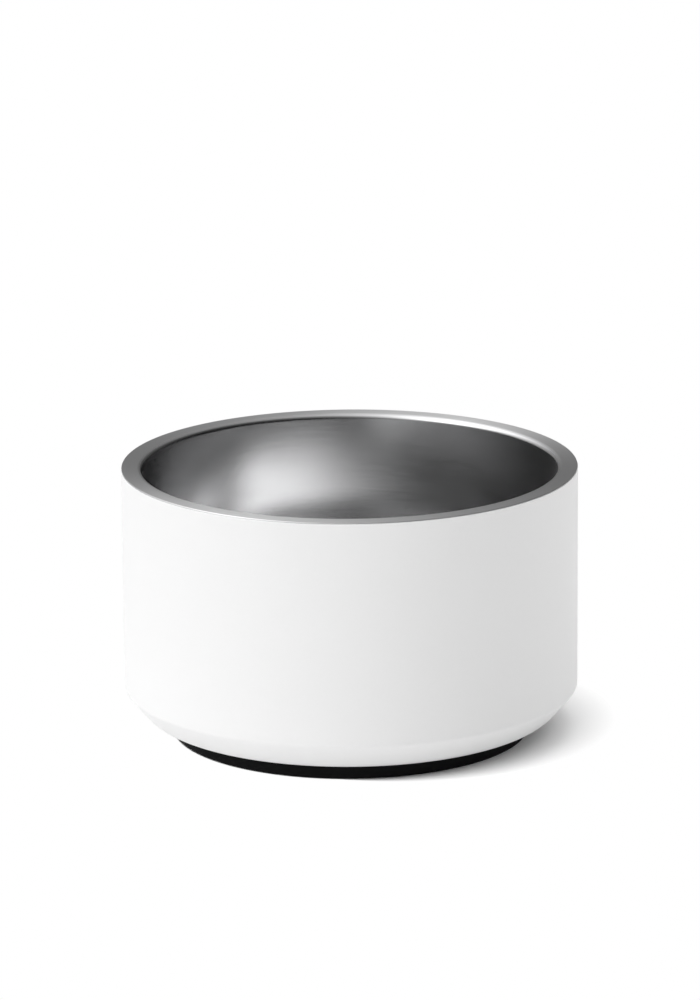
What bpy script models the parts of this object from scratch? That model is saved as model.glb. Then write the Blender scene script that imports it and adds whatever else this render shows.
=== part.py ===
"""Double-walled steel pet bowl: bare steel liner and rim, white coated shell, rubber foot ring.

The two drawn shells are welded at the rim, a pressed pan closes the space between them below, and a cap
under the pan covers its port and clamps the foot ring. Lengths are in metres, +Z is up, and the origin is
on the floor, under the middle of the bowl.
"""

import math

import bpy
from mathutils import Matrix, Vector

MM = 0.001

# Driving dimensions of the whole bowl
OUTER_RADIUS = 92.0 * MM  # coated wall and outer edge of the rim
HEIGHT = 110.0 * MM  # floor to the top of the rim
RIM_WIDTH = 8.5 * MM  # from the outer edge of the rim in to the liner's wall
FOOT_RADIUS = 72.5 * MM  # outer side of the foot ring
FOOT_HEIGHT = 7.3 * MM  # floor to the underside of the shell
SHEET = 0.8 * MM  # thickness of the drawn and pressed steel
FIT_GAP = 0.3 * MM  # left between pieces that touch

# Inner liner
LINER_FLOOR = 17.0 * MM  # height of the surface that the food lies on
LINER_CORNER = 62.0 * MM  # wide rounding from the wall to the floor
LIP_ROUND = 2.2 * MM

# Outer shell
KNEE_HEIGHT = 18.9 * MM  # where the straight wall turns into the chamfer
KNEE_ROUND = 2.7 * MM
BASE_RADIUS = 82.0 * MM  # where the line of the chamfer meets the underside
BASE_ROUND = 8.7 * MM
BASE_OPENING = 66.0 * MM  # radius of the hole in the underside

# Base pan and its port
PAN_LAP = 9.0 * MM  # how far the pan's edge lies over the shell's underside
PAN_STEP = 0.6 * MM  # slope of the step that drops the pan into the hole
PRESSED_ROUND = 0.5 * MM
DIMPLE_RADIUS = 8.5 * MM
DIMPLE_SLOPE = 2.0 * MM
DIMPLE_DEPTH = 3.0 * MM
PORT_RADIUS = 1.2 * MM
SEAL_RADIUS = 4.0 * MM
SEAL_HEIGHT = 1.5 * MM
SEAL_ROUND = 1.3 * MM

# Getter, on the upper side of the pan
GETTER_DISTANCE = 30.0 * MM  # from the bowl's axis
GETTER_RADIUS = 4.5 * MM
GETTER_HEIGHT = 2.2 * MM
GETTER_EDGE = 0.4 * MM
CLIP_SHEET = 0.4 * MM
CLIP_WIDTH = 6.0 * MM
CLIP_FOOT = 4.0 * MM  # length of each foot that is welded to the pan

# Foot ring and the cap that clamps it
RING_WIDTH = 9.2 * MM  # width of the tread
RING_ROUND = 0.8 * MM
RING_LIP_REACH = 5.1 * MM  # how far the clamped lip runs in from the tread
RING_LIP_HEIGHT = 1.7 * MM
GROOVES = 2
GROOVE_WIDTH = 1.4 * MM
GROOVE_DEPTH = 0.8 * MM
CAP_FLANGE = 5.5 * MM  # width of the cap's edge under the ring's lip
CAP_SLOPE = 2.5 * MM
CAP_ROUND = 1.0 * MM

STEEL_COLOUR = (0.55, 0.55, 0.56)

# Fineness of the facets
TURN_SEGMENTS = 64
SMALL_TURN_SEGMENTS = 48
ARC_TOLERANCE = 0.05 * MM
AXIS_MERGE = 0.01 * MM

# Levels and radii that follow from the dimensions above
MOUTH_RADIUS = OUTER_RADIUS - RIM_WIDTH
PAN_TOP = FOOT_HEIGHT + SHEET
RING_TOP = FOOT_HEIGHT - FIT_GAP
TREAD_INNER = FOOT_RADIUS - RING_WIDTH
RING_LIP_BOTTOM = RING_TOP - RING_LIP_HEIGHT
CAP_CENTRE_BOTTOM = FOOT_HEIGHT - FIT_GAP - SHEET
CAP_EDGE_BOTTOM = RING_LIP_BOTTOM - FIT_GAP - SHEET
CAP_RADIUS = TREAD_INNER - FIT_GAP


def clear_scene():
    for old in list(bpy.data.objects):
        bpy.data.objects.remove(old)


def finish(name, colour, roughness, metallic):
    material = bpy.data.materials.new(name)
    material.use_nodes = True
    shader = material.node_tree.nodes["Principled BSDF"]
    shader.inputs["Base Color"].default_value = (*colour, 1.0)
    shader.inputs["Roughness"].default_value = roughness
    shader.inputs["Metallic"].default_value = metallic
    return material


def fillet(before, corner, after, radius):
    """Points along the arc that rounds the corner between its two neighbours."""
    here = Vector(corner)
    back = (Vector(before) - here).normalized()
    ahead = (Vector(after) - here).normalized()
    half_angle = back.angle(ahead) / 2
    centre = here + (back + ahead).normalized() * radius / math.sin(half_angle)
    first = here + back * radius / math.tan(half_angle) - centre
    sweep = math.pi - 2 * half_angle
    largest_step = 2 * math.acos(1 - ARC_TOLERANCE / radius)
    steps = math.ceil(sweep / largest_step)
    turn = math.copysign(sweep / steps, ahead.cross(back))
    return [centre + Matrix.Rotation(turn * step, 2) @ first for step in range(steps + 1)]


def outline(corners):
    """Outline through (radius, height, rounding) corners; a rounding of 0 leaves a corner sharp."""
    points = []
    for index, (radius, height, rounding) in enumerate(corners):
        if rounding == 0:
            points.append((radius, height))
            continue
        before = corners[index - 1][:2]
        after = corners[(index + 1) % len(corners)][:2]
        points += fillet(before, (radius, height), after, rounding)
    return points


def add_piece(name, data, material):
    """Puts a piece of the bowl, made from a mesh or a curve, into the bowl's collection."""
    data.materials.append(material)
    piece = bpy.data.objects.new(name, data)
    bowl.objects.link(piece)
    return piece


def turned(name, points, material, segments, closed=False):
    """Piece turned about the bowl's axis from an outline that runs down its outer side."""
    mesh = bpy.data.meshes.new(name)
    edges = [(index, index + 1) for index in range(len(points) - 1)]
    if closed:
        edges.append((len(points) - 1, 0))
    mesh.from_pydata([(radius, 0, height) for radius, height in points], edges, [])
    piece = add_piece(name, mesh, material)
    turn = piece.modifiers.new("Turn", "SCREW")
    turn.axis = "Z"
    turn.steps = segments
    turn.render_steps = segments
    turn.use_merge_vertices = True
    turn.merge_threshold = AXIS_MERGE
    turn.use_smooth_shade = True
    return piece


def turned_sheet(name, points, material, segments):
    """Drawn or pressed sheet whose outer face is the turned outline."""
    piece = turned(name, points, material, segments)
    wall = piece.modifiers.new("Sheet", "SOLIDIFY")
    wall.thickness = SHEET
    wall.offset = -1
    wall.use_even_offset = True
    return piece


def make_inner_liner():
    """Deep-drawn bowl with a round bottom, whose lip rolls over into the flat rim."""
    face = outline(
        [
            (0, LINER_FLOOR, 0),
            (MOUTH_RADIUS, LINER_FLOOR, LINER_CORNER),
            (MOUTH_RADIUS, HEIGHT, LIP_ROUND),
            (OUTER_RADIUS, HEIGHT, 0),
        ]
    )
    turned_sheet("inner_liner", face, liner_steel, TURN_SEGMENTS)


def make_outer_shell():
    """Straight wall, chamfer and in-turned underside, with the rim of the liner seated on its upper edge."""
    upper_edge = HEIGHT - SHEET - FIT_GAP
    face = outline(
        [
            (OUTER_RADIUS, upper_edge, 0),
            (OUTER_RADIUS, KNEE_HEIGHT, KNEE_ROUND),
            (BASE_RADIUS, FOOT_HEIGHT, BASE_ROUND),
            (BASE_OPENING, FOOT_HEIGHT, 0),
        ]
    )
    turned_sheet("outer_shell", face, coat, TURN_SEGMENTS)


def make_base_pan():
    """Disc stepped down into the hole of the shell's underside, with a dimple round its port."""
    lap_bottom = FOOT_HEIGHT + SHEET + FIT_GAP
    step_foot = BASE_OPENING - FIT_GAP - PAN_STEP
    dimple_top = FOOT_HEIGHT + DIMPLE_DEPTH
    face = outline(
        [
            (BASE_OPENING + PAN_LAP, lap_bottom, 0),
            (step_foot + PAN_STEP, lap_bottom, 0),
            (step_foot, FOOT_HEIGHT, 0),
            (DIMPLE_RADIUS, FOOT_HEIGHT, PRESSED_ROUND),
            (DIMPLE_RADIUS - DIMPLE_SLOPE, dimple_top, PRESSED_ROUND),
            (PORT_RADIUS, dimple_top, 0),
        ]
    )
    turned_sheet("base_pan", face, pan_steel, SMALL_TURN_SEGMENTS)


def make_port_seal():
    """Bead that has run over the port from below, with a stem through it."""
    head_top = FOOT_HEIGHT + DIMPLE_DEPTH - FIT_GAP
    head_bottom = head_top - SEAL_HEIGHT
    stem_radius = PORT_RADIUS - FIT_GAP
    stem_top = head_top + FIT_GAP + SHEET
    section = outline(
        [
            (0, stem_top, 0),
            (stem_radius, stem_top, 0),
            (stem_radius, head_top, 0),
            (SEAL_RADIUS, head_top, 0),
            (SEAL_RADIUS, head_bottom, SEAL_ROUND),
            (0, head_bottom, 0),
        ]
    )
    turned("port_seal", section, seal_glass, SMALL_TURN_SEGMENTS // 2)


def make_getter_pellet():
    """Sintered pellet that lies on the pan, under its clip."""
    bottom = PAN_TOP + FIT_GAP
    bpy.ops.mesh.primitive_cylinder_add(
        vertices=SMALL_TURN_SEGMENTS // 2,
        radius=GETTER_RADIUS,
        depth=GETTER_HEIGHT,
        location=(GETTER_DISTANCE, 0, bottom + GETTER_HEIGHT / 2),
    )
    pellet = bpy.context.object
    pellet.name = "getter_pellet"
    pellet.data.materials.append(getter_powder)
    for collection in pellet.users_collection:
        collection.objects.unlink(pellet)
    bowl.objects.link(pellet)
    edge = pellet.modifiers.new("Edge", "BEVEL")
    edge.width = GETTER_EDGE
    edge.segments = 2


def make_getter_clip():
    """Strap bent over the pellet, with a foot on the pan at each end."""
    leg = GETTER_RADIUS + FIT_GAP
    top = GETTER_HEIGHT + FIT_GAP
    foot_end = leg + CLIP_SHEET + CLIP_FOOT
    right_half = [
        (leg, top),
        (leg, 0),
        (foot_end, 0),
        (foot_end, CLIP_SHEET),
        (leg + CLIP_SHEET, CLIP_SHEET),
        (leg + CLIP_SHEET, top + CLIP_SHEET),
    ]
    left_half = [(-x, z) for x, z in reversed(right_half)]
    section = bpy.data.curves.new("getter_clip", "CURVE")
    section.dimensions = "2D"
    section.fill_mode = "BOTH"
    section.extrude = CLIP_WIDTH / 2
    spline = section.splines.new("POLY")
    spline.use_cyclic_u = True
    spline.points.add(len(right_half + left_half) - 1)
    for point, (x, z) in zip(spline.points, right_half + left_half):
        point.co = (x, z, 0, 1)
    clip = add_piece("getter_clip", section, clip_steel)
    clip.location = (GETTER_DISTANCE, 0, PAN_TOP + FIT_GAP)
    clip.rotation_euler = (math.pi / 2, 0, 0)


def make_base_cap():
    """Disc against the underside of the pan, stepped down at its edge to clamp the foot ring's lip."""
    step_foot = CAP_RADIUS - CAP_FLANGE
    face = outline(
        [
            (CAP_RADIUS, CAP_EDGE_BOTTOM, 0),
            (step_foot, CAP_EDGE_BOTTOM, CAP_ROUND),
            (step_foot - CAP_SLOPE, CAP_CENTRE_BOTTOM, CAP_ROUND),
            (0, CAP_CENTRE_BOTTOM, 0),
        ]
    )
    turned_sheet("base_cap", face, cap_steel, SMALL_TURN_SEGMENTS)


def make_non_slip_ring():
    """Rubber ring with a grooved tread, and a lip that runs in over the edge of the cap."""
    lip_inner = TREAD_INNER - RING_LIP_REACH
    section = [
        (FOOT_RADIUS, RING_TOP, 0),
        (FOOT_RADIUS, 0, RING_ROUND),
    ]
    pitch = RING_WIDTH / (GROOVES + 1)
    for groove in range(GROOVES):
        middle = FOOT_RADIUS - pitch * (groove + 1)
        section += [
            (middle + GROOVE_WIDTH / 2, 0, 0),
            (middle + GROOVE_WIDTH / 4, GROOVE_DEPTH, 0),
            (middle - GROOVE_WIDTH / 4, GROOVE_DEPTH, 0),
            (middle - GROOVE_WIDTH / 2, 0, 0),
        ]
    section += [
        (TREAD_INNER, 0, RING_ROUND),
        (TREAD_INNER, RING_LIP_BOTTOM, 0),
        (lip_inner, RING_LIP_BOTTOM, 0),
        (lip_inner, RING_TOP, 0),
    ]
    turned("non_slip_ring", outline(section), rubber, TURN_SEGMENTS, closed=True)


clear_scene()
bowl = bpy.data.collections.new("pet_bowl")
bpy.context.scene.collection.children.link(bowl)

liner_steel = finish("liner_brushed_steel", STEEL_COLOUR, 0.3, 1.0)
pan_steel = finish("pan_mill_steel", STEEL_COLOUR, 0.4, 1.0)
clip_steel = finish("clip_bright_steel", STEEL_COLOUR, 0.25, 1.0)
cap_steel = finish("cap_brushed_steel", STEEL_COLOUR, 0.35, 1.0)
coat = finish("white_coat", (0.86, 0.86, 0.86), 0.45, 0.0)
rubber = finish("black_rubber", (0.012, 0.012, 0.013), 0.75, 0.0)
seal_glass = finish("seal_glass", (0.05, 0.08, 0.07), 0.2, 0.0)
getter_powder = finish("getter_powder", (0.12, 0.12, 0.13), 0.9, 0.4)

make_inner_liner()
make_outer_shell()
make_base_pan()
make_port_seal()
make_getter_pellet()
make_getter_clip()
make_base_cap()
make_non_slip_ring()
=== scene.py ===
import math

import bmesh
import bpy
from mathutils import Matrix, Vector


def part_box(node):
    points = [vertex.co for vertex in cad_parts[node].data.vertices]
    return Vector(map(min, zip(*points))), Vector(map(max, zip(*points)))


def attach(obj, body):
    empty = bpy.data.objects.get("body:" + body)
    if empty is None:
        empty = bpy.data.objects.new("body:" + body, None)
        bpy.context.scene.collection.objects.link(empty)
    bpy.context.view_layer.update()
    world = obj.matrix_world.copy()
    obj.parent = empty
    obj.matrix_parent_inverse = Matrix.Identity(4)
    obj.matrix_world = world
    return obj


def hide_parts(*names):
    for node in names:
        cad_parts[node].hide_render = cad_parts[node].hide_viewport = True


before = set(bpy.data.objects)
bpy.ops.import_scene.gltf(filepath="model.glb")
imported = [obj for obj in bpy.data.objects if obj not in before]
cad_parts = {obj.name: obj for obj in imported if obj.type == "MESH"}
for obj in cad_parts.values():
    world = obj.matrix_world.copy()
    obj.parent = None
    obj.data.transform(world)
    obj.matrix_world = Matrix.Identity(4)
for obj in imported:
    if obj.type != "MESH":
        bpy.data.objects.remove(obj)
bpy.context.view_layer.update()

# Inner liner: one deep-drawn bowl of stainless sheet with a round bottom, whose lip rolls out into
# the flat rim. It is left bare: the inside has a smooth satin finish and the rim is brushed round
# the axis. The rim's outer edge is welded to the top of the outer shell and ground flush.
MM = 0.001
SHEET = 0.8 * MM
RIM_WIDTH = 8.5 * MM
LIP_ROUND = 2.2 * MM
FLOOR_CORNER = 62.0 * MM
RIM_EDGE_ROUND = 0.45 * MM
RIM_DEPTH = 0.5 * MM
COAT_THICKNESS = 0.15 * MM
TURN_SEGMENTS = 256
ARC_STEP = math.radians(3)
WELD_DISTANCE = 0.001 * MM
SHARP_ANGLE = math.radians(30)
STEEL_COLOUR = (0.715, 0.715, 0.72, 1.0)
SATIN_ROUGHNESS = 0.2
SATIN_STRETCH = 0.4
RIM_ROUGHNESS = 0.35
RIM_STRETCH = 0.9
LINE_SPACING = 0.9 * MM
LINE_VARIETY = 5
LINE_DARKEST = 0.9
LINE_ROUGHNESS_SPREAD = 0.04
LINE_HEIGHT = 0.01 * MM
LINE_BUMP = 0.15
QUARTER_TURN = 0.25


def rounded_corner(before, corner, after, radius):
    """Points of the arc that rounds a corner of an outline."""
    here = Vector(corner)
    back = (Vector(before) - here).normalized()
    ahead = (Vector(after) - here).normalized()
    half_angle = back.angle(ahead) / 2
    centre = here + (back + ahead).normalized() * radius / math.sin(half_angle)
    first = here + back * radius / math.tan(half_angle) - centre
    sweep = math.pi - 2 * half_angle
    steps = math.ceil(sweep / ARC_STEP)
    turn = math.copysign(sweep / steps, ahead.cross(back))
    return [centre + Matrix.Rotation(turn * step, 2) @ first for step in range(steps + 1)]


def outline(corners):
    """Outline through (radius, height, rounding) corners; a rounding of 0 leaves a corner sharp."""
    points = []
    for index, (radius, height, rounding) in enumerate(corners):
        if rounding == 0:
            points.append(Vector((radius, height)))
            continue
        before = corners[index - 1][:2]
        after = corners[(index + 1) % len(corners)][:2]
        points += rounded_corner(before, (radius, height), after, rounding)
    return points


def other_face(corners, thickness):
    """Corners of a sheet's second face, at its thickness to the right of the first."""
    places = [Vector(corner[:2]) for corner in corners]
    legs = [(after - here).normalized() for here, after in zip(places, places[1:])]
    moved = []
    for index, (place, corner) in enumerate(zip(places, corners)):
        into = legs[max(index - 1, 0)]
        out = legs[min(index, len(legs) - 1)]
        bend = (into.orthogonal() + out.orthogonal()) / (1 + into.dot(out))
        rounding = corner[2]
        if rounding:
            rounding += math.copysign(thickness, into.cross(out))
        moved.append((*(place - bend * thickness), rounding))
    return moved


def turning_tree():
    """Node tree that turns a section, a chain of points in the XZ plane, once about the Z axis."""
    tree = bpy.data.node_groups.new("turn_about_axis", "GeometryNodeTree")
    sockets = tree.interface
    sockets.new_socket("Section", in_out="INPUT", socket_type="NodeSocketGeometry")
    sockets.new_socket("Segments", in_out="INPUT", socket_type="NodeSocketInt")
    sockets.new_socket("Weld distance", in_out="INPUT", socket_type="NodeSocketFloat")
    sockets.new_socket("Finish", in_out="INPUT", socket_type="NodeSocketMaterial")
    sockets.new_socket("Turned", in_out="OUTPUT", socket_type="NodeSocketGeometry")
    link = tree.links.new

    def node(kind, **settings):
        made = tree.nodes.new(kind)
        for name, value in settings.items():
            setattr(made, name, value)
        return made

    given = node("NodeGroupInput").outputs
    rows = node("GeometryNodeAttributeDomainSize", component="MESH")
    link(given["Section"], rows.inputs["Geometry"])
    columns = node("FunctionNodeIntegerMath", operation="ADD")
    link(given["Segments"], columns.inputs[0])
    columns.inputs[1].default_value = 1
    grid = node("GeometryNodeMeshGrid")
    link(columns.outputs[0], grid.inputs["Vertices X"])
    link(rows.outputs["Point Count"], grid.inputs["Vertices Y"])

    index = node("GeometryNodeInputIndex")
    column = node("FunctionNodeIntegerMath", operation="DIVIDE_FLOOR")
    row = node("FunctionNodeIntegerMath", operation="MODULO")
    for part in (column, row):
        link(index.outputs[0], part.inputs[0])
        link(rows.outputs["Point Count"], part.inputs[1])
    place = node("GeometryNodeSampleIndex", data_type="FLOAT_VECTOR")
    link(given["Section"], place.inputs["Geometry"])
    link(node("GeometryNodeInputPosition").outputs[0], place.inputs["Value"])
    link(row.outputs[0], place.inputs["Index"])

    share = node("ShaderNodeMath", operation="DIVIDE")
    link(column.outputs[0], share.inputs[0])
    link(given["Segments"], share.inputs[1])
    angle = node("ShaderNodeMath", operation="MULTIPLY")
    link(share.outputs[0], angle.inputs[0])
    angle.inputs[1].default_value = 2 * math.pi
    turn = node("ShaderNodeVectorRotate", rotation_type="Z_AXIS")
    link(place.outputs[0], turn.inputs["Vector"])
    link(angle.outputs[0], turn.inputs["Angle"])
    moved = node("GeometryNodeSetPosition")
    link(grid.outputs["Mesh"], moved.inputs["Geometry"])
    link(turn.outputs[0], moved.inputs["Position"])

    closed = node("GeometryNodeMergeByDistance")
    link(moved.outputs[0], closed.inputs["Geometry"])
    link(given["Weld distance"], closed.inputs["Distance"])
    real = node("GeometryNodeRealizeInstances")
    link(closed.outputs[0], real.inputs[0])
    finished = node("GeometryNodeSetMaterial")
    link(real.outputs[0], finished.inputs["Geometry"])
    link(given["Finish"], finished.inputs["Material"])
    link(finished.outputs[0], node("NodeGroupOutput").inputs["Turned"])
    return tree


def turned_piece(name, corners, finish):
    """Closed solid turned from the corners of its whole section, as a plain mesh."""
    points = outline(corners)
    on_axis = points[0].x == 0 and points[-1].x == 0
    if not on_axis:
        points.append(points[0])
    section = bpy.data.meshes.new(name)
    chain = [(index, index + 1) for index in range(len(points) - 1)]
    section.from_pydata([(point.x, 0, point.y) for point in points], chain, [])
    piece = bpy.data.objects.new(name, section)
    bpy.context.scene.collection.objects.link(piece)
    turning = piece.modifiers.new("Turn", "NODES")
    turning.node_group = turn_about_axis
    inputs = {item.name: item.identifier for item in turn_about_axis.interface.items_tree}
    turning[inputs["Segments"]] = TURN_SEGMENTS
    turning[inputs["Weld distance"]] = WELD_DISTANCE
    turning[inputs["Finish"]] = finish
    evaluated = piece.evaluated_get(bpy.context.evaluated_depsgraph_get())
    solid = bpy.data.meshes.new_from_object(evaluated)
    # The grid's own slot is empty, and goes so that the finish is the first.
    solid.materials.pop(index=0)
    piece.modifiers.clear()
    piece.data = solid
    shape = bmesh.new()
    shape.from_mesh(solid)
    bmesh.ops.recalc_face_normals(shape, faces=shape.faces)
    shape.to_mesh(solid)
    shape.free()
    solid.shade_smooth()
    solid.set_sharp_from_angle(angle=SHARP_ANGLE)
    return piece


def new_finish(name, roughness, metallic=0.0):
    """Material, its node tree and its shader, ready for the nodes that vary them."""
    finish = bpy.data.materials.new(name)
    finish.use_nodes = True
    shader = finish.node_tree.nodes["Principled BSDF"]
    shader.inputs["Roughness"].default_value = roughness
    shader.inputs["Metallic"].default_value = metallic
    return finish, finish.node_tree, shader


def spread_roughness(tree, signal, spread, shader):
    """Drives a shader's roughness by a signal from 0 to 1, up to the spread either side of its value."""
    roughness = shader.inputs["Roughness"]
    span = tree.nodes.new("ShaderNodeMapRange")
    span.inputs["To Min"].default_value = roughness.default_value - spread
    span.inputs["To Max"].default_value = roughness.default_value + spread
    tree.links.new(signal, span.inputs["Value"])
    tree.links.new(span.outputs[0], roughness)


def shade(tree, signal, darkest, colour, shader):
    """Drives a shader's colour between its darkest share and the whole of it by a signal from 0 to 1."""
    mix = tree.nodes.new("ShaderNodeMix")
    mix.data_type = "RGBA"
    mix.inputs["A"].default_value = (*(darkest * part for part in colour[:3]), 1.0)
    mix.inputs["B"].default_value = colour
    tree.links.new(signal, mix.inputs["Factor"])
    tree.links.new(mix.outputs["Result"], shader.inputs["Base Color"])


def raise_surface(tree, signal, height, strength, shader):
    """Bumps the surface by a signal, at a height in metres."""
    bump = tree.nodes.new("ShaderNodeBump")
    bump.inputs["Strength"].default_value = strength
    bump.inputs["Distance"].default_value = height
    tree.links.new(signal, bump.inputs["Height"])
    tree.links.new(bump.outputs["Normal"], shader.inputs["Normal"])


def calculate(tree, operation, first, second, clamp=False):
    """Signal of a calculation with two signals or numbers; clamp holds it between 0 and 1."""
    step = tree.nodes.new("ShaderNodeMath")
    step.operation = operation
    step.use_clamp = clamp
    for socket, value in zip(step.inputs, (first, second)):
        if isinstance(value, bpy.types.NodeSocket):
            tree.links.new(value, socket)
        else:
            socket.default_value = value
    return step.outputs[0]


def brush_lines(tree, spacing, variety):
    """Signal of fine lines round the Z axis, at a spacing in metres, which change on their way round."""
    nodes, link = tree.nodes, tree.links.new
    place = nodes.new("ShaderNodeTexCoord").outputs["Object"]
    flat = nodes.new("ShaderNodeVectorMath")
    flat.operation = "MULTIPLY"
    flat.inputs[1].default_value = (1, 1, 0)
    link(place, flat.inputs[0])
    radius = nodes.new("ShaderNodeVectorMath")
    radius.operation = "LENGTH"
    link(flat.outputs[0], radius.inputs[0])
    round_axis = nodes.new("ShaderNodeVectorMath")
    round_axis.operation = "NORMALIZE"
    link(flat.outputs[0], round_axis.inputs[0])
    bearing = nodes.new("ShaderNodeSeparateXYZ")
    link(round_axis.outputs[0], bearing.inputs[0])
    height = nodes.new("ShaderNodeSeparateXYZ")
    link(place, height.inputs[0])
    across = nodes.new("ShaderNodeCombineXYZ")
    link(calculate(tree, "DIVIDE", radius.outputs["Value"], spacing), across.inputs["X"])
    link(calculate(tree, "DIVIDE", height.outputs["Z"], spacing), across.inputs["Y"])
    link(calculate(tree, "MULTIPLY", bearing.outputs["X"], variety), across.inputs["Z"])
    lines = nodes.new("ShaderNodeTexNoise")
    lines.noise_dimensions = "4D"
    lines.inputs["Scale"].default_value = 1
    lines.inputs["Detail"].default_value = 3
    lines.inputs["Roughness"].default_value = 0.6
    link(across.outputs[0], lines.inputs["Vector"])
    link(calculate(tree, "MULTIPLY", bearing.outputs["Y"], variety), lines.inputs["W"])
    return lines.outputs[0]


def brushed_steel(name, roughness, stretch):
    """Stainless steel brushed round the axis, whose highlights stretch across the lines."""
    finish, tree, shader = new_finish(name, roughness, metallic=1.0)
    lines = brush_lines(tree, LINE_SPACING, LINE_VARIETY)
    shade(tree, lines, LINE_DARKEST, STEEL_COLOUR, shader)
    spread_roughness(tree, lines, LINE_ROUGHNESS_SPREAD, shader)
    raise_surface(tree, lines, LINE_HEIGHT, LINE_BUMP, shader)
    shader.inputs["Anisotropic"].default_value = stretch
    shader.inputs["Anisotropic Rotation"].default_value = QUARTER_TURN
    tangent = tree.nodes.new("ShaderNodeTangent")
    tangent.direction_type = "RADIAL"
    tangent.axis = "Z"
    tree.links.new(tangent.outputs[0], shader.inputs["Tangent"])
    return finish


turn_about_axis = turning_tree()
liner_low, liner_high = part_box("inner_liner")
bowl_radius = liner_high.x
bowl_top = liner_high.z
mouth_radius = bowl_radius - RIM_WIDTH
bowl_floor = liner_low.z + SHEET
rim_edge = bowl_radius - COAT_THICKNESS
inside = [
    (0, bowl_floor, 0),
    (mouth_radius, bowl_floor, FLOOR_CORNER),
    (mouth_radius, bowl_top, LIP_ROUND),
    (rim_edge, bowl_top, RIM_EDGE_ROUND),
]
underside = other_face(inside, SHEET)
underside[-1] = (rim_edge, bowl_top - SHEET, 0)
satin_steel = brushed_steel("satin_liner", SATIN_ROUGHNESS, SATIN_STRETCH)
rim_steel = brushed_steel("brushed_rim", RIM_ROUGHNESS, RIM_STRETCH)
liner = turned_piece("liner_bowl", inside + underside[::-1], satin_steel)
liner.data.materials.append(rim_steel)
for face in liner.data.polygons:
    if face.center.z > bowl_top - RIM_DEPTH and face.normal.z > 0:
        face.material_index = 1
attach(liner, "root")
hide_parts("inner_liner")

# Outer shell: a second drawn wall of the same sheet, straight to a knee, chamfered to the base
# and turned in underneath. It carries a white powder coat that stops in a clean line just below
# the top of the rim, and the coat's fine orange peel breaks up its satin gloss.
COAT_LINE = 0.6 * MM
COAT_EDGE_ROUND = 0.1 * MM
KNEE_HEIGHT = 18.9 * MM
KNEE_ROUND = 2.7 * MM
BASE_RADIUS = 82.0 * MM
BASE_ROUND = 8.7 * MM
BASE_OPENING = 66.0 * MM
SEAM_CLEARANCE = 0.05 * MM
COAT_COLOUR = (0.86, 0.86, 0.86, 1.0)
COAT_ROUGHNESS = 0.42
PEEL_SIZE = 1.1 * MM
PEEL_DARKEST = 0.985
PEEL_ROUGHNESS_SPREAD = 0.04
PEEL_HEIGHT = 0.01 * MM
PEEL_BUMP = 0.2


def grain(tree, size, stretch=1.0):
    """Signal of noise at a grain size in metres, drawn out along X by a stretch below 1."""
    place = tree.nodes.new("ShaderNodeMapping")
    place.inputs["Scale"].default_value = (stretch / size, 1 / size, 1 / size)
    tree.links.new(tree.nodes.new("ShaderNodeTexCoord").outputs["Object"], place.inputs["Vector"])
    noise = tree.nodes.new("ShaderNodeTexNoise")
    noise.inputs["Scale"].default_value = 1
    noise.inputs["Detail"].default_value = 2
    tree.links.new(place.outputs[0], noise.inputs["Vector"])
    return noise.outputs[0]


def powder_coat():
    """Satin white powder coat with a fine orange peel."""
    finish, tree, shader = new_finish("white_powder_coat", COAT_ROUGHNESS)
    peel = grain(tree, PEEL_SIZE)
    shade(tree, peel, PEEL_DARKEST, COAT_COLOUR, shader)
    spread_roughness(tree, peel, PEEL_ROUGHNESS_SPREAD, shader)
    raise_surface(tree, peel, PEEL_HEIGHT, PEEL_BUMP, shader)
    return finish


shell_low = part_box("outer_shell")[0]
shell_bottom = shell_low.z
coat_top = bowl_top - COAT_LINE
seam_height = bowl_top - SHEET - SEAM_CLEARANCE
outside = [
    (bowl_radius, seam_height, 0),
    (bowl_radius, KNEE_HEIGHT, KNEE_ROUND),
    (BASE_RADIUS, shell_bottom, BASE_ROUND),
    (BASE_OPENING, shell_bottom, 0),
]
inner_wall = other_face(outside, SHEET)
coat_edge = [
    (rim_edge, seam_height, 0),
    (rim_edge, coat_top, 0),
    (bowl_radius, coat_top, COAT_EDGE_ROUND),
]
shell = turned_piece("coated_shell", coat_edge + outside[1:] + inner_wall[::-1], powder_coat())
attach(shell, "root")
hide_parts("outer_shell")

# Base pan: a disc pressed from mill-rolled sheet, dropped into the shell's opening and welded round
# its edge, with a dimple in the middle where the air was drawn out. The cap and the ring hide it,
# so the CAD solid stays and only takes its finish.
PAN_ROUGHNESS = 0.38
PAN_GRAIN = 0.4 * MM
ROLLED_STRETCH = 0.03
ROLLED_DARKEST = 0.85
ROLLED_ROUGHNESS_SPREAD = 0.06
ROLLED_HEIGHT = 0.01 * MM
ROLLED_BUMP = 0.2


def rolled_steel(name, roughness, size):
    """Sheet steel as it leaves the mill, with a faint grain drawn out along X."""
    finish, tree, shader = new_finish(name, roughness, metallic=1.0)
    lines = grain(tree, size, ROLLED_STRETCH)
    shade(tree, lines, ROLLED_DARKEST, STEEL_COLOUR, shader)
    spread_roughness(tree, lines, ROLLED_ROUGHNESS_SPREAD, shader)
    raise_surface(tree, lines, ROLLED_HEIGHT, ROLLED_BUMP, shader)
    return finish


def dress(node, finish):
    """Gives a CAD node that keeps its shape a finish of its own."""
    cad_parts[node].material_slots[0].material = finish


dress("base_pan", rolled_steel("mill_rolled_pan", PAN_ROUGHNESS, PAN_GRAIN))

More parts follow.
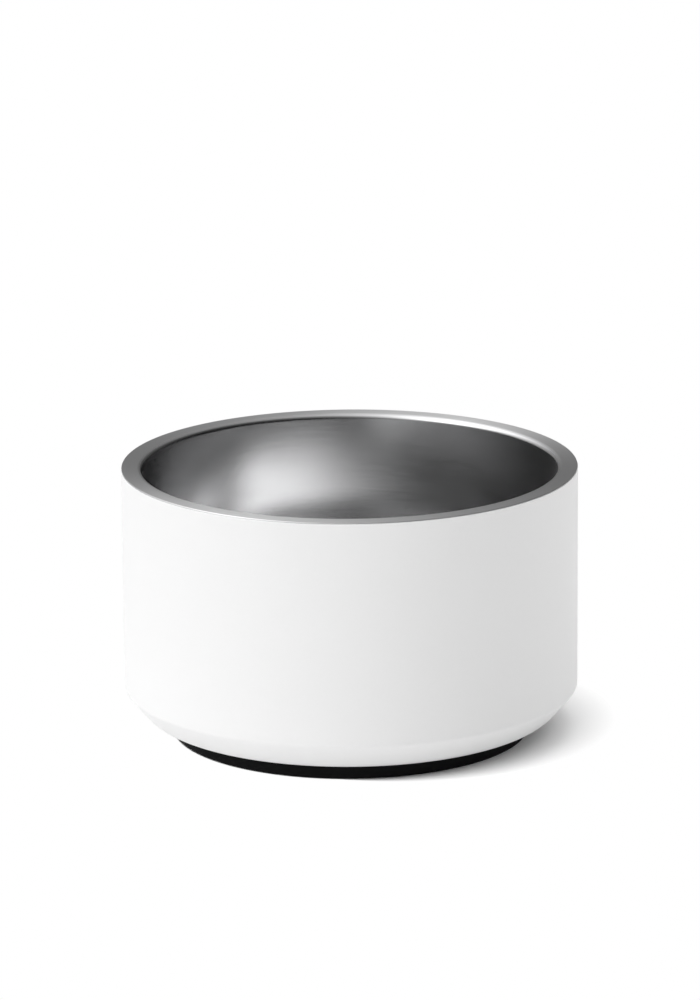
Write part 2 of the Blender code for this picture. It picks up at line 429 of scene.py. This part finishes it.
# Port seal: a bead of solder glass that melted over the port in the vacuum furnace and closed it.
# It set dark and glossy, and is a little cloudy where its powder ran together.
SEAL_COLOUR = (0.05, 0.08, 0.07, 1.0)
SEAL_ROUGHNESS = 0.175
SEAL_IOR = 1.6
CLOUD_SIZE = 0.8 * MM
CLOUD_DARKEST = 0.5
CLOUD_ROUGHNESS_SPREAD = 0.075


def fused_glass():
    """Dark opaque solder glass."""
    finish, tree, shader = new_finish("fused_seal_glass", SEAL_ROUGHNESS)
    clouds = grain(tree, CLOUD_SIZE)
    shade(tree, clouds, CLOUD_DARKEST, SEAL_COLOUR, shader)
    spread_roughness(tree, clouds, CLOUD_ROUGHNESS_SPREAD, shader)
    shader.inputs["IOR"].default_value = SEAL_IOR
    return finish


dress("port_seal", fused_glass())

# Getter pellet: metal powder pressed and sintered into a small tablet, which takes up the last gas
# between the walls. Its dull grains show as specks and as a rough surface.
POWDER_COLOUR = (0.16, 0.16, 0.17, 1.0)
POWDER_ROUGHNESS = 0.85
POWDER_METALLIC = 0.4
SPECK_SIZE = 0.12 * MM
SPECK_DARKEST = 0.4
SPECK_ROUGHNESS_SPREAD = 0.1
SPECK_HEIGHT = 0.05 * MM
SPECK_BUMP = 0.6


def sintered_powder():
    """Dull grey sintered metal powder, speckled grain by grain."""
    finish, tree, shader = new_finish("sintered_getter", POWDER_ROUGHNESS, POWDER_METALLIC)
    specks = grain(tree, SPECK_SIZE)
    shade(tree, specks, SPECK_DARKEST, POWDER_COLOUR, shader)
    spread_roughness(tree, specks, SPECK_ROUGHNESS_SPREAD, shader)
    raise_surface(tree, specks, SPECK_HEIGHT, SPECK_BUMP, shader)
    return finish


dress("getter_pellet", sintered_powder())

# Getter clip: a strip of bright spring steel bent over the pellet, with a foot at each end that is
# spot-welded to the pan.
CLIP_ROUGHNESS = 0.25
CLIP_GRAIN = 0.15 * MM

dress("getter_clip", rolled_steel("spring_steel_clip", CLIP_ROUGHNESS, CLIP_GRAIN))

# Base cap: a shallow disc pressed from the same sheet and brushed round the axis. Its edge holds
# the foot ring's lip up against the shell, and its raised middle is fixed to the base pan.
CAP_FLANGE = 5.5 * MM
CAP_SLOPE = 2.5 * MM
CAP_ROUND = 1.0 * MM
CAP_EDGE_ROUND = 0.25 * MM
CAP_ROUGHNESS = 0.35
CAP_STRETCH = 0.8

cap_low, cap_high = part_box("base_cap")
cap_radius = cap_high.x
flange_inner = cap_radius - CAP_FLANGE
cap_bottom = [
    (cap_radius, cap_low.z, CAP_EDGE_ROUND),
    (flange_inner, cap_low.z, CAP_ROUND),
    (flange_inner - CAP_SLOPE, cap_high.z - SHEET, CAP_ROUND),
    (0, cap_high.z - SHEET, 0),
]
cap_top = other_face(cap_bottom, SHEET)
cap_top[0] = (cap_radius, cap_low.z + SHEET, CAP_EDGE_ROUND)
cap_steel = brushed_steel("brushed_cap", CAP_ROUGHNESS, CAP_STRETCH)
cap = turned_piece("pressed_cap", cap_top[::-1] + cap_bottom, cap_steel)
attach(cap, "root")
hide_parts("base_cap")

# Foot ring: one moulding of black rubber, with a lip that the cap clamps under the shell and two
# shallow grooves round its tread. It is squeezed up against the shell's underside.
RING_WIDTH = 9.2 * MM
TREAD_ROUND = 0.8 * MM
LIP_REACH = 5.1 * MM
LIP_HEIGHT = 1.7 * MM
LIP_EDGE_ROUND = 0.3 * MM
GROOVES = 2
GROOVE_WIDTH = 1.4 * MM
GROOVE_DEPTH = 0.8 * MM
GROOVE_ROUND = 0.15 * MM
RUBBER_COLOUR = (0.007, 0.007, 0.0075, 1.0)
RUBBER_ROUGHNESS = 0.75
RUBBER_SPECULAR = 0.1
PIT_SIZE = 0.25 * MM
PIT_DARKEST = 0.5
PIT_ROUGHNESS_SPREAD = 0.07
PIT_HEIGHT = 0.03 * MM
PIT_BUMP = 0.4


def moulded_rubber():
    """Matt black rubber with the fine grain of its mould."""
    finish, tree, shader = new_finish("black_moulded_rubber", RUBBER_ROUGHNESS)
    pits = grain(tree, PIT_SIZE)
    shade(tree, pits, PIT_DARKEST, RUBBER_COLOUR, shader)
    spread_roughness(tree, pits, PIT_ROUGHNESS_SPREAD, shader)
    raise_surface(tree, pits, PIT_HEIGHT, PIT_BUMP, shader)
    shader.inputs["Specular IOR Level"].default_value = RUBBER_SPECULAR
    return finish


ring_low, ring_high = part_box("non_slip_ring")
tread_outer = ring_high.x
tread_inner = tread_outer - RING_WIDTH
lip_inner = tread_inner - LIP_REACH
lip_bottom = ring_high.z - LIP_HEIGHT
ring_top = shell_bottom - SEAM_CLEARANCE
ring_section = [
    (tread_outer, ring_top, 0),
    (tread_outer, ring_low.z, TREAD_ROUND),
]
for groove in range(GROOVES):
    middle = tread_outer - RING_WIDTH / (GROOVES + 1) * (groove + 1)
    ring_section += [
        (middle + GROOVE_WIDTH / 2, ring_low.z, GROOVE_ROUND),
        (middle + GROOVE_WIDTH / 4, ring_low.z + GROOVE_DEPTH, GROOVE_ROUND),
        (middle - GROOVE_WIDTH / 4, ring_low.z + GROOVE_DEPTH, GROOVE_ROUND),
        (middle - GROOVE_WIDTH / 2, ring_low.z, GROOVE_ROUND),
    ]
ring_section += [
    (tread_inner, ring_low.z, TREAD_ROUND),
    (tread_inner, lip_bottom, LIP_EDGE_ROUND),
    (lip_inner, lip_bottom, LIP_EDGE_ROUND),
    (lip_inner, ring_top, LIP_EDGE_ROUND),
]
ring = turned_piece("rubber_foot_ring", ring_section, moulded_rubber())
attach(ring, "root")
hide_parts("non_slip_ring")

# Camera: a long lens from the front, a little above the rim, as the photograph was taken.
# The bowl's centre stands below the middle of the picture, so the camera aims above it.
PICTURE_WIDTH = 700
PICTURE_HEIGHT = 1000
CENTRE_PIXEL = (350.4, 595.45)
CAMERA_DISTANCE = 2.3
CAMERA_ELEVATION = math.radians(15.762)
CAMERA_ROLL = math.radians(0.414)
SENSOR_HEIGHT = 36.0
LENS = 204.35

bowl_centre = Vector((0, 0, bowl_top / 2))
lens_pixels = LENS / SENSOR_HEIGHT * PICTURE_HEIGHT
toward_camera = Vector((0, -math.cos(CAMERA_ELEVATION), math.sin(CAMERA_ELEVATION)))
aim_up = math.atan((CENTRE_PIXEL[1] - PICTURE_HEIGHT / 2) / lens_pixels)
aim_left = math.atan((CENTRE_PIXEL[0] - PICTURE_WIDTH / 2) / lens_pixels)
camera_data = bpy.data.cameras.new("camera")
camera_data.sensor_fit = "VERTICAL"
camera_data.sensor_height = SENSOR_HEIGHT
camera_data.lens = LENS
camera = bpy.data.objects.new("camera", camera_data)
camera.matrix_world = (
    Matrix.Translation(bowl_centre + CAMERA_DISTANCE * toward_camera)
    @ toward_camera.to_track_quat("Z", "Y").to_matrix().to_4x4()
    @ Matrix.Rotation(-CAMERA_ROLL, 4, "Z")
    @ Matrix.Rotation(aim_up, 4, "X")
    @ Matrix.Rotation(aim_left, 4, "Y")
)
bpy.context.scene.collection.objects.link(camera)
bpy.context.scene.camera = camera

# Floor and light: a white floor that keeps the bowl's shadow at the right of the foot ring and is
# plain white elsewhere, in a light tent that glows broadly on the left and faintly behind and above.
# Three soft fills, which mirrors don't show, lift the floor and the front and right of the coat.
FLOOR_HALF = 4.0
FLOOR_COLOUR = (0.9, 0.9, 0.9, 1.0)
FLOOR_ROUGHNESS = 0.8
RING_MIDDLE = (0.0, 0.0, 0.0)
SHADOW_MIDDLE = (20.0 * MM, 12.0 * MM, 0.0)
SHADOW_RADIUS = 88.0 * MM
SHADOW_FALLOFF = 1.5
WHITE = (1.0, 1.0, 1.0, 1.0)
TENT_GLOWS = (
    {"azimuth": -135, "elevation": 45, "narrowness": 6, "strength": 0.84},
    {"azimuth": -90, "elevation": 45, "narrowness": 6, "strength": 1.4},
    {"azimuth": -45, "elevation": 45, "narrowness": 6, "strength": 0.6},
    {"azimuth": -60, "elevation": 25, "narrowness": 14, "strength": 1.25},
    {"azimuth": 165, "elevation": 45, "narrowness": 6, "strength": 0.25},
    {"azimuth": 0, "elevation": 90, "narrowness": 6, "strength": 0.4},
)
FILLS = (
    {"name": "top_fill", "azimuth": 0, "elevation": 84, "power": 8.8},
    {"name": "front_fill", "azimuth": 14, "elevation": 10, "power": 4.2},
    {"name": "right_fill", "azimuth": 118, "elevation": 9, "power": 6.6},
)
FILL_DISTANCE = 1.6
FILL_WIDTH = 1.0
FILL_HEIGHT = 0.6


def distance_from(tree, middle):
    """Signal of the distance in metres from a point on the floor."""
    span = tree.nodes.new("ShaderNodeVectorMath")
    span.operation = "DISTANCE"
    span.inputs[1].default_value = middle
    tree.links.new(tree.nodes.new("ShaderNodeTexCoord").outputs["Object"], span.inputs[0])
    return span.outputs["Value"]


def whiten_away(tree, shader):
    """Shows a floor as white to the camera and to mirrors, except from the ring to the shadow's edge."""
    nodes, link = tree.nodes, tree.links.new
    past_ring = calculate(tree, "SUBTRACT", distance_from(tree, RING_MIDDLE), tread_outer, clamp=True)
    to_edge = calculate(tree, "SUBTRACT", SHADOW_RADIUS, distance_from(tree, SHADOW_MIDDLE), clamp=True)
    whole = calculate(tree, "ADD", past_ring, to_edge)
    away = calculate(tree, "POWER", calculate(tree, "DIVIDE", past_ring, whole), SHADOW_FALLOFF)
    rays = nodes.new("ShaderNodeLightPath").outputs
    seen = calculate(tree, "MAXIMUM", rays["Is Camera Ray"], rays["Is Glossy Ray"])
    seen = calculate(tree, "MAXIMUM", seen, rays["Is Transmission Ray"])
    white = nodes.new("ShaderNodeEmission")
    white.inputs["Color"].default_value = WHITE
    mix = nodes.new("ShaderNodeMixShader")
    link(calculate(tree, "MULTIPLY", seen, away), mix.inputs["Fac"])
    link(shader.outputs[0], mix.inputs[1])
    link(white.outputs[0], mix.inputs[2])
    link(mix.outputs[0], nodes["Material Output"].inputs["Surface"])


def direction(azimuth, elevation):
    """Unit vector from the bowl; azimuth 0 is the camera's side, and 90 is the right."""
    side = math.radians(azimuth)
    up = math.radians(elevation)
    return Vector((math.sin(side) * math.cos(up), -math.cos(side) * math.cos(up), math.sin(up)))


def glow(tree, azimuth, elevation, narrowness, strength):
    """Signal of a soft glow of the tent round one direction."""
    toward = tree.nodes.new("ShaderNodeVectorMath")
    toward.operation = "DOT_PRODUCT"
    toward.inputs[1].default_value = direction(azimuth, elevation)
    tree.links.new(tree.nodes.new("ShaderNodeTexCoord").outputs["Generated"], toward.inputs[0])
    away = calculate(tree, "SUBTRACT", toward.outputs["Value"], 1)
    fade = calculate(tree, "POWER", math.e, calculate(tree, "MULTIPLY", away, narrowness))
    return calculate(tree, "MULTIPLY", fade, strength)


def soft_fill(name, azimuth, elevation, power):
    """Rectangular lamp that faces the bowl and that mirrors don't show."""
    lamp = bpy.data.lights.new(name, "AREA")
    lamp.shape = "RECTANGLE"
    lamp.size = FILL_WIDTH
    lamp.size_y = FILL_HEIGHT
    lamp.energy = power
    away = direction(azimuth, elevation)
    box = bpy.data.objects.new(name, lamp)
    box.location = bowl_centre + FILL_DISTANCE * away
    box.rotation_euler = away.to_track_quat("Z", "Y").to_euler()
    box.visible_glossy = False
    bpy.context.scene.collection.objects.link(box)


floor_mesh = bpy.data.meshes.new("floor")
floor_corners = [(FLOOR_HALF * x, FLOOR_HALF * y, 0) for x, y in ((-1, -1), (1, -1), (1, 1), (-1, 1))]
floor_mesh.from_pydata(floor_corners, [], [(0, 1, 2, 3)])
floor_finish, floor_tree, floor_shader = new_finish("white_floor", FLOOR_ROUGHNESS)
floor_shader.inputs["Base Color"].default_value = FLOOR_COLOUR
whiten_away(floor_tree, floor_shader)
floor_mesh.materials.append(floor_finish)
floor = bpy.data.objects.new("floor", floor_mesh)
bpy.context.scene.collection.objects.link(floor)

for settings in FILLS:
    soft_fill(**settings)

tent = bpy.data.worlds.new("light_tent")
tent.use_nodes = True
tent_tree = tent.node_tree
background = tent_tree.nodes["Background"].inputs
background["Color"].default_value = WHITE
tent_light = 0.0
for settings in TENT_GLOWS:
    tent_light = calculate(tent_tree, "ADD", tent_light, glow(tent_tree, **settings))
tent_tree.links.new(tent_light, background["Strength"])
bpy.context.scene.world = tent
bpy.context.scene.view_settings.view_transform = "Standard"
